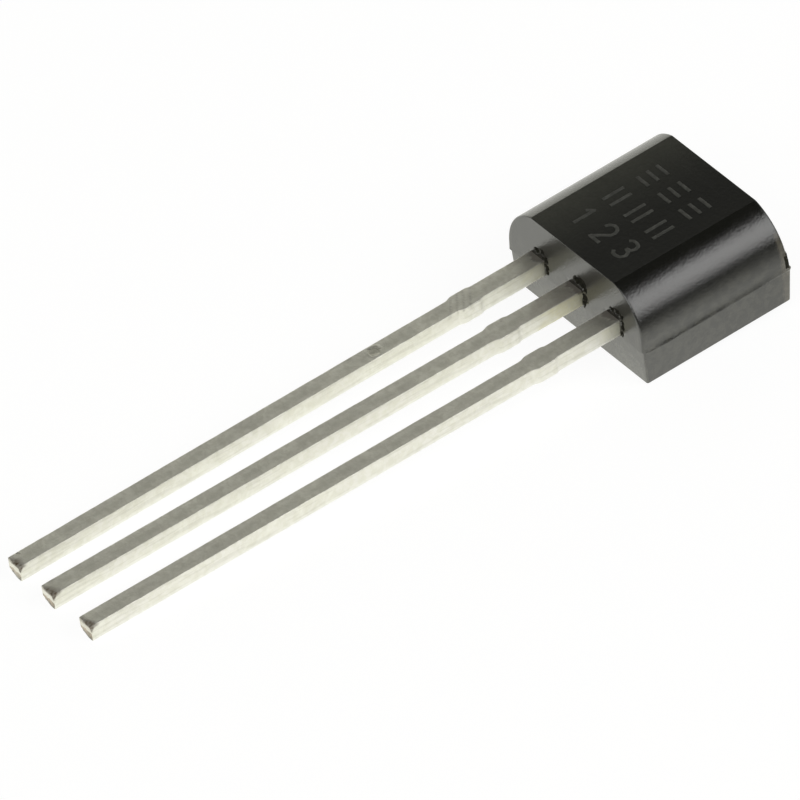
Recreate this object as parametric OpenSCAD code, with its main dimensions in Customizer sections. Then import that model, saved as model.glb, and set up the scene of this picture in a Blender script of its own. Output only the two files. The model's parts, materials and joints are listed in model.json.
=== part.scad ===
// Small three-lead transistor in a flat in-line moulded package, lying on its back.
// Sizes are in millimetres. The case is drawn with its back face on the XY plane, its marked
// face up and its leads along -Y, from the parting outline at y = 0. The whole part is then
// tilted until its back edge and its three lead tips touch the XY plane, as it lies at rest.

/* [Moulded body] */
// Width across the parting line, the widest line of the body
body_width = 4.52; // [4.4:0.01:4.77]
// Height from the lead end to the far end, at the parting line
body_height = 3.87; // [3.8:0.01:4.01]
// Thickness from the back face to the marked face
body_thickness = 2.28; // [2.2:0.01:2.41]
// Height of the parting line and of the leads' lower surface above the back face
parting_height = 0.92; // [0.8:0.01:1]
// Width of the flat marked face
marked_width = 2.8; // [2.6:0.05:3]
// Radius of the round shoulders beside the marked face
shoulder_radius = 1.2; // [1.05:0.01:1.25]
// How far each side wall leans in from the parting line to the back face
side_draft = 0.075; // [0.04:0.005:0.1]
// How far each end wall leans in from the parting line to the back face
back_end_draft = 0.06; // [0.03:0.005:0.1]
// How far each end wall leans in from the parting line to the marked face
marked_end_draft = 0.065; // [0.03:0.005:0.12]

/* [Leads] */
// Distance between the leads' centre lines
lead_pitch = 1.27; // [1.25:0.01:1.29]
// Width of each lead beyond the dam bar
lead_width = 0.41; // [0.38:0.01:0.46]
// Width of each lead from the body to the dam bar, and inside the body
root_width = 0.45; // [0.42:0.01:0.5]
// Thickness of the lead frame's strip
lead_thickness = 0.41; // [0.38:0.01:0.45]
// Length of each lead outside the body
lead_length = 13.55; // [13:0.05:14]
// Distance from the body to the trimmed dam bar
dam_bar_distance = 1.5; // [1:0.05:1.7]
// Width of the trimmed dam bar, along the lead
dam_bar_width = 0.75; // [0.5:0.05:1]
// How far the trimmed dam bar stands out from each side of a lead
dam_bar_stub = 0.055; // [0.03:0.005:0.08]
// Length of the slope at each end of a dam bar stub
dam_bar_slope = 0.15; // [0.05:0.01:0.2]
// How far the collector lead's tip stands to the side of its own line
collector_tip_shift = -0.02; // [-0.3:0.01:0.3]
// How far the base lead's tip stands to the side of its own line
base_tip_shift = -0.14; // [-0.3:0.01:0.3]
// How far the emitter lead's tip stands to the side of its own line
emitter_tip_shift = -0.12; // [-0.3:0.01:0.3]

/* [Lead frame inside the moulding] */
// Width of the slots that part the frame's pieces inside the moulding
frame_gap = 0.32; // [0.28:0.01:0.36]
// How far the frame's outer pieces stand out beyond the outer leads
frame_overhang = 0.15; // [0.1:0.01:0.2]
// Depth at which the locking ears begin
ear_depth = 0.35; // [0.3:0.01:0.4]
// Length of a locking ear, along the lead
ear_length = 0.22; // [0.15:0.01:0.25]
// How far a locking ear stands out from each side of a lead
ear_height = 0.1; // [0.06:0.01:0.14]
// Width of the base post's head
base_head_width = 0.8; // [0.7:0.01:0.9]
// Length of the base post's head, along the lead
base_head_length = 0.42; // [0.36:0.01:0.48]
// Depth that the base post reaches into the body
base_post_depth = 1.34; // [1.25:0.01:1.4]
// Width of the collector's paddle
paddle_width = 1.95; // [1.8:0.01:2]
// Length of the collector's paddle
paddle_length = 1.6; // [1.4:0.01:1.65]
// Radius of the locking notches in the paddle's far end
notch_radius = 0.13; // [0.08:0.01:0.16]
// Length of the emitter post's head, along the lead
emitter_head_length = 0.85; // [0.7:0.01:1]

/* [Die and bond wires] */
// Side of the square silicon die
die_side = 0.8; // [0.6:0.01:0.9]
// Thickness of the silicon die
die_thickness = 0.2; // [0.15:0.01:0.25]
// Thickness of the solder under the die
solder_thickness = 0.03; // [0.02:0.005:0.05]
// How far the solder stands out round the die
solder_margin = 0.06; // [0.03:0.01:0.1]
// Distance from the die's edges to a bond's centre
bond_inset = 0.16; // [0.12:0.01:0.2]
// Distance between the base bond and the emitter bond, along the die's edge
bond_spacing = 0.3; // [0.25:0.01:0.35]
// Diameter of the bond wires
wire_diameter = 0.04; // [0.03:0.005:0.05]
// Diameter of the ball at a wire's start
ball_diameter = 0.1; // [0.08:0.005:0.12]
// Thickness of the ball at a wire's start
ball_thickness = 0.04; // [0.03:0.005:0.05]
// Height of the straight neck of a wire above its bond
neck_height = 0.12; // [0.08:0.01:0.15]
// Radius of the wire's bend above its neck
bend_radius = 0.15; // [0.1:0.01:0.2]
// Length of the flattened wire end on a post
wedge_length = 0.14; // [0.1:0.01:0.18]
// Thickness of the flattened wire end on a post
wedge_thickness = 0.02; // [0.015:0.005:0.025]

/* [Hidden] */
$fn = 96;

// A length longer than any piece, for cutters
beyond = 10;

// How many straight pieces a wire's bend is made of
bend_steps = 8;

// How the part lies: on the back face's edge at the lead end and on the lead tips
rest_tilt = atan(parting_height / (lead_length + back_end_draft));
rest_lift = -back_end_draft * sin(rest_tilt);
tips_y = -lead_length * cos(rest_tilt) - (parting_height + lead_thickness) * sin(rest_tilt);
far_back_y = (body_height - back_end_draft) * cos(rest_tilt);
far_parting_y = body_height * cos(rest_tilt) - parting_height * sin(rest_tilt);
middle_y = (tips_y + max(far_back_y, far_parting_y)) / 2;

// The body's section across the leads
side_x = body_width / 2;
back_x = side_x - side_draft;
shoulder_width = side_x - marked_width / 2;
shoulder_rise = sqrt(2 * shoulder_radius * shoulder_width - shoulder_width * shoulder_width);

// The lead frame, seen from the marked face
collector_x = -lead_pitch;
base_x = 0;
emitter_x = lead_pitch;
paddle_x = collector_x - root_width / 2 - frame_overhang;
paddle_y = base_post_depth + frame_gap;
emitter_head_x = paddle_x + paddle_width + frame_gap;
emitter_head_width = emitter_x + root_width / 2 + frame_overhang - emitter_head_x;

// Heights of the stacked surfaces above the back face
frame_top = parting_height + lead_thickness;
die_bottom = frame_top + solder_thickness;
die_top = die_bottom + die_thickness;

// The die sits in the middle of the paddle, and its bonds face the two posts
die_x = paddle_x + paddle_width / 2;
die_y = paddle_y + paddle_length / 2;
bond_x = die_x + die_side / 2 - bond_inset;
base_bond = [bond_x, die_y - die_side / 2 + bond_inset];
emitter_bond = base_bond + [0, bond_spacing];
base_wedge = [base_x, base_post_depth - base_head_length / 2];
emitter_wedge = [emitter_head_x + wedge_length, paddle_y + emitter_head_length / 2];

// Lays the part down as it comes to rest, with the middle of its box over the origin
module at_rest() {
    translate([0, -middle_y, rest_lift])
        rotate([rest_tilt, 0, 0])
            children();
}

// The body's outline across the leads: drafted walls below the parting line, round shoulders above
module body_section() {
    polygon([
        [-back_x, 0],
        [back_x, 0],
        [side_x, parting_height],
        [-side_x, parting_height]
    ]);
    difference() {
        translate([-side_x, parting_height])
            square([body_width, body_thickness - parting_height]);
        for (side = [0, 1])
            mirror([side, 0])
                translate([side_x - shoulder_radius, body_thickness - shoulder_rise])
                    difference() {
                        square(beyond);
                        circle(r = shoulder_radius);
                    }
    }
}

// The body's outline along the leads, with both ends drafted from the parting line
module body_side() {
    polygon([
        [back_end_draft, 0],
        [body_height - back_end_draft, 0],
        [body_height, parting_height],
        [body_height - marked_end_draft, body_thickness],
        [marked_end_draft, body_thickness],
        [0, parting_height]
    ]);
}

// The moulded form that both outlines share
module body_form() {
    intersection() {
        translate([0, beyond, 0])
            rotate([90, 0, 0])
                linear_extrude(2 * beyond)
                    body_section();
        translate([-beyond, 0, 0])
            rotate([90, 0, 90])
                linear_extrude(2 * beyond)
                    body_side();
    }
}

// A lead's outline outside the body: it is wider as far as the dam bar, the trimmed dam bar
// leaves a low stub on each side, and the tip is cut square and shifted to the side
module outer_lead(tip_shift) {
    root = root_width / 2;
    foot = lead_width / 2;
    crest = foot + dam_bar_stub;
    dam_end = dam_bar_distance + dam_bar_width;
    edge = [
        [root, -ear_depth],
        [root, 0],
        [root, dam_bar_distance],
        [crest, dam_bar_distance + dam_bar_slope],
        [crest, dam_end - dam_bar_slope],
        [foot, dam_end],
        [foot, lead_length]
    ];
    centre = [for (p = edge) tip_shift * max(0, p[1]) / lead_length];
    last = len(edge) - 1;
    polygon(concat(
        [for (i = [0:last]) [centre[i] - edge[i][0], -edge[i][1]]],
        [for (i = [last:-1:0]) [centre[i] + edge[i][0], -edge[i][1]]]
    ));
}

// A lead's outline inside the body, down to the given depth, with its locking ears
module inner_lead(depth) {
    translate([-root_width / 2, 0])
        square([root_width, depth]);
    translate([-root_width / 2 - ear_height, ear_depth])
        square([root_width + 2 * ear_height, ear_length]);
}

// One stamped piece of the lead frame, from outlines drawn in its plane
module stamped() {
    translate([0, 0, parting_height])
        linear_extrude(lead_thickness)
            children();
}

// The collector's lead and the paddle that carries the die, with notches that lock it in the body
module collector_frame() {
    stamped() {
        translate([collector_x, 0]) {
            outer_lead(collector_tip_shift);
            inner_lead(paddle_y + notch_radius);
        }
        difference() {
            translate([paddle_x, paddle_y])
                square([paddle_width, paddle_length]);
            for (x = [paddle_x, paddle_x + paddle_width])
                translate([x, paddle_y + paddle_length - 2 * notch_radius])
                    circle(r = notch_radius);
        }
    }
}

// The base's lead and the head that its wire lands on
module base_frame() {
    stamped()
        translate([base_x, 0]) {
            outer_lead(base_tip_shift);
            inner_lead(base_post_depth);
            translate([-base_head_width / 2, base_post_depth - base_head_length])
                square([base_head_width, base_head_length]);
        }
}

// The emitter's lead and its head, which reaches in beside the paddle
module emitter_frame() {
    stamped() {
        translate([emitter_x, 0]) {
            outer_lead(emitter_tip_shift);
            inner_lead(paddle_y + emitter_head_length);
        }
        translate([emitter_head_x, paddle_y])
            square([emitter_head_width, emitter_head_length]);
    }
}

// The solder that spreads a little past the die
module solder_pad() {
    side = die_side + 2 * solder_margin;
    translate([die_x - side / 2, die_y - side / 2, frame_top])
        cube([side, side, solder_thickness]);
}

// The square silicon chip
module chip() {
    translate([die_x - die_side / 2, die_y - die_side / 2, die_bottom])
        cube([die_side, die_side, die_thickness]);
}

// A round tube along a path in the XZ plane, where each stop is [x, z, the path's rise in degrees]
module tube(stops, diameter) {
    sides = 12;
    last = len(stops) - 1;
    points = [
        for (stop = stops, i = [0:sides - 1])
            let (across = diameter / 2 * cos(i * 360 / sides), out = diameter / 2 * sin(i * 360 / sides))
            [stop[0] - across * sin(stop[2]), out, stop[1] + across * cos(stop[2])]
    ];
    walls = [
        for (j = [0:last - 1], i = [0:sides - 1])
            let (next = (i + 1) % sides)
            [j * sides + i, j * sides + next, (j + 1) * sides + next, (j + 1) * sides + i]
    ];
    start_cap = [for (i = [sides - 1:-1:0]) i];
    end_cap = [for (i = [0:sides - 1]) last * sides + i];
    polyhedron(points, concat([start_cap, end_cap], walls));
}

// A bond wire from a ball on the die to a wedge on a post: a straight neck, a bend towards the
// post, and a straight run that leaves the bend along its tangent
module bond_wire(ball, wedge) {
    reach = norm(wedge - ball);
    heading = atan2(wedge[1] - ball[1], wedge[0] - ball[0]);
    neck_top = ball_thickness + neck_height;
    wedge_height = frame_top - die_top + wire_diameter / 2;
    drop = neck_top - wedge_height;
    apart = norm([reach - bend_radius, drop]);
    fall = atan2(drop, reach - bend_radius) + asin(bend_radius / apart);
    neck_start = [[0, ball_thickness / 2, 90]];
    bend = [
        for (step = [0:bend_steps])
            let (turn = (90 + fall) * step / bend_steps)
            [bend_radius * (1 - cos(turn)), neck_top + bend_radius * sin(turn), 90 - turn]
    ];
    run_end = [[reach, wedge_height, -fall]];
    translate([ball[0], ball[1], die_top])
        rotate([0, 0, heading]) {
            cylinder(h = ball_thickness, d = ball_diameter);
            tube(concat(neck_start, bend, run_end), wire_diameter);
            translate([reach - wedge_length / 2, -wire_diameter, frame_top - die_top])
                cube([wedge_length, 2 * wire_diameter, wedge_thickness]);
        }
}

// The base's wire, from the die to the base post
module base_bond_wire() {
    bond_wire(base_bond, base_wedge);
}

// The emitter's wire, from the die to the emitter post
module emitter_bond_wire() {
    bond_wire(emitter_bond, emitter_wedge);
}

// The epoxy case, moulded round everything that it holds
module moulded_body() {
    color([0.1, 0.1, 0.09])
        at_rest()
            difference() {
                body_form();
                collector_frame();
                base_frame();
                emitter_frame();
                solder_pad();
                chip();
                base_bond_wire();
                emitter_bond_wire();
            }
}

module collector_lead() {
    color([0.75, 0.75, 0.7])
        at_rest()
            collector_frame();
}

module base_lead() {
    color([0.75, 0.75, 0.7])
        at_rest()
            base_frame();
}

module emitter_lead() {
    color([0.75, 0.75, 0.7])
        at_rest()
            emitter_frame();
}

module die_solder() {
    color([0.55, 0.55, 0.58])
        at_rest()
            solder_pad();
}

module silicon_die() {
    color([0.3, 0.32, 0.38])
        at_rest()
            chip();
}

module base_wire() {
    color([0.9, 0.7, 0.3])
        at_rest()
            base_bond_wire();
}

module emitter_wire() {
    color([0.9, 0.7, 0.3])
        at_rest()
            emitter_bond_wire();
}

moulded_body();
collector_lead();
base_lead();
emitter_lead();
die_solder();
silicon_die();
base_wire();
emitter_wire();
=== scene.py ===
# %% [markdown]
# # A small three-lead transistor
#
# The part is a black epoxy case with three tin-plated leads, and it lies on its back. Inside the case sit the
# lead frame's ends, a chip, the solder under it and two gold wires. The solid model is already made and
# packed. This lesson dresses it: it builds each piece again with rounded edges and small marks, gives it a
# finish, and lights it. The solid model could be shown as it is, but its edges are razor sharp and its faces
# are bare.

# %% Load the frame
import json
import math

import bmesh
import bpy
import numpy as np
from mathutils import Matrix, Vector, noise


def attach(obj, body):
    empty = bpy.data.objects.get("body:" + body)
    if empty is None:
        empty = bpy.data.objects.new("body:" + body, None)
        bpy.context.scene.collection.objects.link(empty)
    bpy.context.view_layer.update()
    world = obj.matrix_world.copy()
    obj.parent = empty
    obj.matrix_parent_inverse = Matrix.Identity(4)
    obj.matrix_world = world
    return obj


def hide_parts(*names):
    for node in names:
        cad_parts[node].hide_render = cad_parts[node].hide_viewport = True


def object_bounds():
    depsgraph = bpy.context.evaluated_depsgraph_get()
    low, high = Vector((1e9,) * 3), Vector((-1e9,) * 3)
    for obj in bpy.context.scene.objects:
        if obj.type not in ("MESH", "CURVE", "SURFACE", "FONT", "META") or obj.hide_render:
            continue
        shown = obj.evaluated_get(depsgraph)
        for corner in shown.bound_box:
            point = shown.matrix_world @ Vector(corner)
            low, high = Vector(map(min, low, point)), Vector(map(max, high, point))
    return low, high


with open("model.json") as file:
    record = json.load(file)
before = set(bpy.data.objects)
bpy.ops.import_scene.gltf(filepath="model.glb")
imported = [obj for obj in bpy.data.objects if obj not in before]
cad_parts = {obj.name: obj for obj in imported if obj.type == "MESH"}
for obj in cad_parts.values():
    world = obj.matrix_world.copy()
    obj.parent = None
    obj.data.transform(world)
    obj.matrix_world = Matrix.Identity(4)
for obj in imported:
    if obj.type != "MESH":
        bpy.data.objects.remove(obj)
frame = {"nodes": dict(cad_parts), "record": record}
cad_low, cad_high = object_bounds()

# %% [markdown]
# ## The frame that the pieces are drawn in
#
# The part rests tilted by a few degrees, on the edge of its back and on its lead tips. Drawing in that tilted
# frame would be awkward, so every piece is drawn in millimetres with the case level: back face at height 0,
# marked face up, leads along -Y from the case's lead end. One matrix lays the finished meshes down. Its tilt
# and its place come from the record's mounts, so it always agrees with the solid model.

METRES = 0.001
body_height = 3.87
back_mount = {mount["name"]: mount for mount in frame["record"]["mounts"]}["back_face"]
rest_tilt = math.atan2(back_mount["axis"][1], -back_mount["axis"][2])
to_mount = Matrix.Rotation(rest_tilt, 3, "X") @ Vector((0, body_height / 2, 0)) * METRES
case_origin = Vector(back_mount["pos_m"]) - to_mount
lay_down = Matrix.Translation(case_origin) @ Matrix.Rotation(rest_tilt, 4, "X") @ Matrix.Scale(METRES, 4)
lead_end = case_origin.y / METRES
print(f"the case lies tilted by {math.degrees(rest_tilt):.3f} degrees, lead end at y {lead_end:.3f} mm")

# %% Measure the solid model in the level frame
to_level = lay_down.inverted()
for name, solid in frame["nodes"].items():
    points = np.array([to_level @ vertex.co for vertex in solid.data.vertices])
    print(f"{name}: from {points.min(axis=0).round(3)} to {points.max(axis=0).round(3)} mm")

# %% [markdown]
# ## Camera
#
# A part this small is shown with a long lens from a third of a metre away, which keeps parallel edges
# parallel. The camera could be placed by eye, but a place worked out from an azimuth, an elevation, a roll
# and a distance is easy to read and to change. Azimuth 0 looks along +Y.

# %% Place the camera
def add_object(name, data):
    placed = bpy.data.objects.new(name, data)
    bpy.context.scene.collection.objects.link(placed)
    return placed


azimuth = math.radians(54.551)
elevation = math.radians(39.719)
roll = math.radians(-3.064)
aim = Vector((0.386, -0.019, 1.106)) * METRES
distance = 0.33361
level_right = Vector((math.cos(azimuth), math.sin(azimuth), 0))
level_back = Vector((math.sin(azimuth), -math.cos(azimuth), 0))
backwards = level_back * math.cos(elevation) + Vector((0, 0, math.sin(elevation)))
right = level_right * math.cos(roll) + backwards.cross(level_right) * math.sin(roll)
axes = Matrix((right, backwards.cross(right), backwards)).transposed()
camera_data = bpy.data.cameras.new("camera")
camera_data.sensor_width = 36
camera_data.lens = 730.94
camera_data.clip_start = 0.01
camera_data.clip_end = 5
camera = add_object("camera", camera_data)
camera.matrix_world = Matrix.Translation(aim + backwards * distance) @ axes.to_4x4()
bpy.context.scene.camera = camera
bpy.context.scene.view_settings.view_transform = "Standard"
seen_width = distance * camera_data.sensor_width / camera_data.lens
print(f"the camera stands {distance / METRES:.0f} mm away and sees {seen_width / METRES:.1f} mm across")

# %% [markdown]
# ## Helpers that wire nodes together
#
# Materials and Geometry Nodes trees are both made of nodes. They could be drawn by hand in the editor, but a
# script that adds a node, sets it up and fills its inputs in one call keeps the whole tree readable in order.
# A node's output is held as a signal, so that sums and products of signals read as they do in plain
# arithmetic. All helpers add their nodes to the tree in hand, which is held in `tree`.

# %% A node's output as a signal
class Signal:
    """A node's output. Arithmetic on it adds Math nodes to the tree in hand."""

    def __init__(self, socket):
        self.socket = socket

    def __add__(self, other):
        return maths("ADD", self, other)

    def __sub__(self, other):
        return maths("SUBTRACT", self, other)

    def __rsub__(self, other):
        return maths("SUBTRACT", other, self)

    def __mul__(self, other):
        return maths("MULTIPLY", self, other)

    def __truediv__(self, other):
        return maths("DIVIDE", self, other)


# %% How nodes are added and filled
def fill(node, inputs):
    """Fills a node's inputs with signals or plain values. A colour is given without its alpha."""
    for key, value in inputs.items():
        socket = node.inputs[key]
        if isinstance(value, Signal):
            tree.links.new(value.socket, socket)
        else:
            socket.default_value = (*value, 1.0) if socket.type == "RGBA" else value
    return node


def add_node(kind, inputs={}, **settings):
    node = tree.nodes.new(kind)
    for name, value in settings.items():
        setattr(node, name, value)
    return fill(node, inputs)


def signal(kind, inputs={}, key=0, **settings):
    """One output of a new node."""
    return Signal(add_node(kind, inputs, **settings).outputs[key])


def signals(node):
    """All outputs of a node by name."""
    return {socket.name: Signal(socket) for socket in node.outputs}


# %% Arithmetic
def maths(operation, *values):
    return signal("ShaderNodeMath", dict(enumerate(values)), operation=operation)


def vector_maths(operation, first, second=(0, 0, 0)):
    second_key = "Scale" if operation == "SCALE" else 1
    return signal("ShaderNodeVectorMath", {0: first, second_key: second}, operation=operation)


def dot_product(first, second):
    return signal("ShaderNodeVectorMath", {0: first, 1: second}, "Value", operation="DOT_PRODUCT")


def split(vector):
    """A vector's three parts."""
    return signals(add_node("ShaderNodeSeparateXYZ", {0: vector})).values()


def vector_of(x=0.0, y=0.0, z=0.0):
    return signal("ShaderNodeCombineXYZ", {0: x, 1: y, 2: z})


def map_range(value, start, end, **settings):
    """A number that runs from 0 to 1 while the value runs from start to end."""
    inputs = {"Value": value, "From Min": start, "From Max": end}
    return signal("ShaderNodeMapRange", inputs, "Result", **settings)


def fade(value, start, end):
    """The same, with a soft start and a soft end."""
    return map_range(value, start, end, interpolation_type="SMOOTHSTEP")


# %% Blends and noise
def blend(mask, first, second):
    """The first number or colour where the mask is 0, and the second where it is 1."""
    is_number = isinstance(second, float) or isinstance(second, Signal) and second.socket.type == "VALUE"
    kind = "FLOAT" if is_number else "RGBA"
    return signal("ShaderNodeMix", {"Factor": mask, "A": first, "B": second}, "Result", data_type=kind)


def layered(tone, *layers):
    """Lays more colours over a tone, each as (mask, colour)."""
    for mask, colour in layers:
        tone = blend(mask, tone, colour)
    return tone


def cloud_noise(place, scale, detail, key="Fac", dimensions="3D", **more):
    inputs = {"Vector": place, "Scale": scale, "Detail": detail, **more}
    return signal("ShaderNodeTexNoise", inputs, key, noise_dimensions=dimensions)


# %% Start a tree or a node group
FLOAT = "NodeSocketFloat"
VECTOR = "NodeSocketVector"
GEOMETRY = "NodeSocketGeometry"
MATERIAL = "NodeSocketMaterial"


def start_tree(owner):
    """Takes the tree of a material or of the world in hand, and empties it."""
    global tree
    owner.use_nodes = True
    tree = owner.node_tree
    tree.nodes.clear()


def start_group(name, inputs, outputs, tree_kind="ShaderNodeTree", output_kind=FLOAT):
    """Takes a new node group in hand. Each input is given as a number, or as the kind of its socket."""
    global tree
    tree = bpy.data.node_groups.new(name, tree_kind)
    for label, value in inputs.items():
        kind = value if isinstance(value, str) else FLOAT
        item = tree.interface.new_socket(name=label, in_out="INPUT", socket_type=kind)
        if kind == FLOAT:
            item.default_value = value
    for label in outputs:
        tree.interface.new_socket(name=label, in_out="OUTPUT", socket_type=output_kind)
    return signals(add_node("NodeGroupInput")), add_node("NodeGroupOutput")


# %% [markdown]
# ## Floor, surroundings and lamp
#
# Small parts like this are shown on a pale table that runs into a white background. A real table would need
# strong light to look white. Here the floor is a pale diffuse disc, and for what the camera and the
# reflections see, most of it is plain white. So the part keeps its soft shadow while the lamps stay at a
# plain level. In reflections the sheet is painted grey towards the lamp, a painted shade that darkens the
# case's side wall softly. In a reflection of a reflection it is painted dimmer, a painted shade that keeps
# the corners between the leads and the case dark. From below the disc lets the view through.

# %% Floor
FLOOR_RADIUS = 1.5
FLOOR_SIDES = 96
FLOOR_GAP = 0.000002
turns = [math.tau * side / FLOOR_SIDES for side in range(FLOOR_SIDES)]
floor_mesh = bpy.data.meshes.new("floor")
rim = [(FLOOR_RADIUS * math.cos(turn), FLOOR_RADIUS * math.sin(turn), 0) for turn in turns]
floor_mesh.from_pydata(rim, [], [list(range(FLOOR_SIDES))])
floor = add_object("floor", floor_mesh)
floor.location.z = cad_low.z - FLOOR_GAP

# %% The floor's paper, and what the camera and the reflections see of it
SHOWN_WHITE = 0.82
TOWARDS_LAMP = (0.81, 0.58, 0.0)
SHEET_FADE = (0.0032, 0.0157)
SECOND_REFLECTION_SHADE = 0.62
floor_paper = bpy.data.materials.new("floor_paper")
floor_mesh.materials.append(floor_paper)
start_tree(floor_paper)
floor_place = signal("ShaderNodeTexCoord", key="Object")
paper_tone = blend(cloud_noise(floor_place, 900.0, 3.0), (0.86, 0.86, 0.85), (0.90, 0.90, 0.89))
paper = signal("ShaderNodeBsdfDiffuse", {"Color": paper_tone})
rays = signals(add_node("ShaderNodeLightPath"))
# Painted shade: reflections see the floor turn grey towards the lamp, and a reflection of a reflection sees
# it dimmer.
sheet_shade = fade(dot_product(floor_place, TOWARDS_LAMP), *SHEET_FADE)
reflected_tone = blend(sheet_shade, (1.12, 1.12, 1.04), (0.25, 0.25, 0.23))
second = maths("GREATER_THAN", rays["Ray Depth"], 1.5)
reflected_tone = blend(second, reflected_tone, vector_maths("SCALE", reflected_tone, SECOND_REFLECTION_SHADE))
sheet_tone = blend(rays["Is Camera Ray"], reflected_tone, (1, 1, 1))
white = signal("ShaderNodeEmission", {"Color": sheet_tone, "Strength": 1.12})
mirrored = maths("MAXIMUM", rays["Is Glossy Ray"], rays["Is Transmission Ray"])
seen = maths("MAXIMUM", rays["Is Camera Ray"], mirrored)
shown = signal("ShaderNodeMixShader", {0: seen * SHOWN_WHITE, 1: paper, 2: white})
from_below = signal("ShaderNodeNewGeometry", key="Backfacing")
see_through = signal("ShaderNodeMixShader", {0: from_below, 1: shown, 2: signal("ShaderNodeBsdfTransparent")})
add_node("ShaderNodeOutputMaterial", {"Surface": see_through})

# %% [markdown]
# The surroundings are a plain grey room: white below the horizon, as the floor is, and dark overhead. On the
# lamp's side the wall is dim near the horizon. On the other side it is paler. A polished black case shows
# nothing but these reflections, so the dim strip and the lamp's edges are what draw the lines on its
# shoulders.

# %% Surroundings
PALE_SIDE = (-0.87, 0.49, 0.0)
world = bpy.data.worlds.new("room")
bpy.context.scene.world = world
start_tree(world)
direction = signal("ShaderNodeTexCoord", key="Generated")
height = signal("ShaderNodeSeparateXYZ", {0: direction}, "Z")
height_share = maths("MULTIPLY_ADD", height, 0.5, 0.5)


def wall_tone(stops):
    """A warm grey that changes with height, from (share of the way up, brightness) stops."""
    tone = add_node("ShaderNodeValToRGB", {0: height_share})
    while len(tone.color_ramp.elements) < len(stops):
        tone.color_ramp.elements.new(0.5)
    for element, (position, brightness) in zip(tone.color_ramp.elements, stops):
        warmth = 1.0 if brightness == 1 else 0.9
        element.position = position
        element.color = (brightness, brightness, brightness * warmth, 1.0)
    return Signal(tone.outputs[0])


white_floor = [(0, 1), (0.49, 1)]
lamp_side = [(0.50, 0.05), (0.57, 0.08), (0.72, 0.30), (0.84, 0.30), (0.90, 0.03), (1, 0.02)]
pale_side = [(0.50, 1.30), (0.58, 1.10), (0.68, 0.70), (0.86, 0.60), (0.92, 0.03), (1, 0.02)]
on_pale_side = fade(dot_product(direction, PALE_SIDE), 0.55, 0.95)
room_tone = blend(on_pale_side, wall_tone(white_floor + lamp_side), wall_tone(white_floor + pale_side))
room = signal("ShaderNodeBackground", {"Color": room_tone, "Strength": 1.0})
add_node("ShaderNodeOutputWorld", {"Surface": room})

# %% [markdown]
# A softbox to the right gives the bright band along the near shoulder: its lower and upper edges set where
# the band begins and ends. A softbox is brightest in its middle, so three lamps of the same shape and of
# falling size stand almost in one place, and the band fades towards its edges. The smaller ones stand a
# little higher, so that the upper edge is the crisper one. A weaker lamp stands behind the camera.

# %% Lamps
def softbox(name, azimuth_from_x, height_angle, distance, size, radiance):
    """A square lamp that faces the part, as bright as the radiance says from wherever it is seen."""
    lamp_data = bpy.data.lights.new(name, "AREA")
    lamp_data.shape = "RECTANGLE"
    lamp_data.size = size
    lamp_data.size_y = size
    lamp_data.energy = radiance * math.pi * size * size
    lamp = add_object(name, lamp_data)
    turn, rise = math.radians(azimuth_from_x), math.radians(height_angle)
    towards = Vector((math.cos(turn) * math.cos(rise), math.sin(turn) * math.cos(rise), math.sin(rise)))
    lamp.location = towards * distance
    lamp.rotation_mode = "QUATERNION"
    lamp.rotation_quaternion = towards.to_track_quat("Z", "Y")
    lamp.visible_camera = False


KEY_SIZE = 0.245
KEY_RADIANCE = 1.85
KEY_SHARES = (1.0, 0.82, 0.64)
KEY_AZIMUTH = 35
KEY_HEIGHT = 34
KEY_TILT = 13
KEY_DISTANCE = 0.30
KEY_SPACING = 0.004
for number, share in enumerate(KEY_SHARES):
    height_angle = KEY_HEIGHT + KEY_TILT * (1 - share)
    away = KEY_DISTANCE + KEY_SPACING * number
    radiance = KEY_RADIANCE / len(KEY_SHARES)
    softbox("key_softbox", KEY_AZIMUTH, height_angle, away, KEY_SIZE * share, radiance)
softbox("fill_softbox", -48, 46, 0.50, 0.36, 1.6)

# %% [markdown]
# ## Shared effects for the finishes
#
# Five effects are used by the finishes: fine mould or metal grain, patches of tone, thin scratches, dust and
# round dents. Each is a node group that is built once and placed with its own values. They could be copied
# into every material, but then each small change would have to be made many times. All of them take a place
# in millimetres and give back a mask, a height or both.

# %% Grain: a fine even texture, with a coarser swell under it
def start_effect(name, more_inputs, outputs):
    return start_group(name, {"Where": VECTOR, **more_inputs}, outputs)


given, made = start_effect("fine_grain", {"Grains per mm": 30.0, "Swell": 0.3}, ["Height", "Mask"])
grains = cloud_noise(given["Where"], given["Grains per mm"], 3.0, Roughness=0.6)
swell = cloud_noise(given["Where"], given["Grains per mm"] * 0.12, 2.0)
fill(made, {"Height": maths("MULTIPLY_ADD", swell, given["Swell"], grains), "Mask": grains})

# %% Patches: soft areas of another tone, as handling and plating leave them
given, made = start_effect("soft_patches", {"Patches per mm": 1.5, "Softness": 0.15}, ["Mask"])
patches = cloud_noise(given["Where"], given["Patches per mm"], 4.0, Roughness=0.55, Distortion=0.4)
fill(made, {"Mask": fade(patches, 0.5 - given["Softness"], given["Softness"] + 0.5)})

# %% Scratches: long thin lines along the first axis of the place that is given
given, made = start_effect("thin_scratches", {"Lines per mm": 12.0, "Amount": 0.3}, ["Mask"])
stretched = vector_maths("MULTIPLY", given["Where"], (0.06, 1.0, 1.0))
lines = cloud_noise(stretched, given["Lines per mm"], 2.0)
start = maths("MULTIPLY_ADD", given["Amount"], -0.4, 0.72)
fill(made, {"Mask": map_range(lines, start, start + 0.06)})

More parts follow.
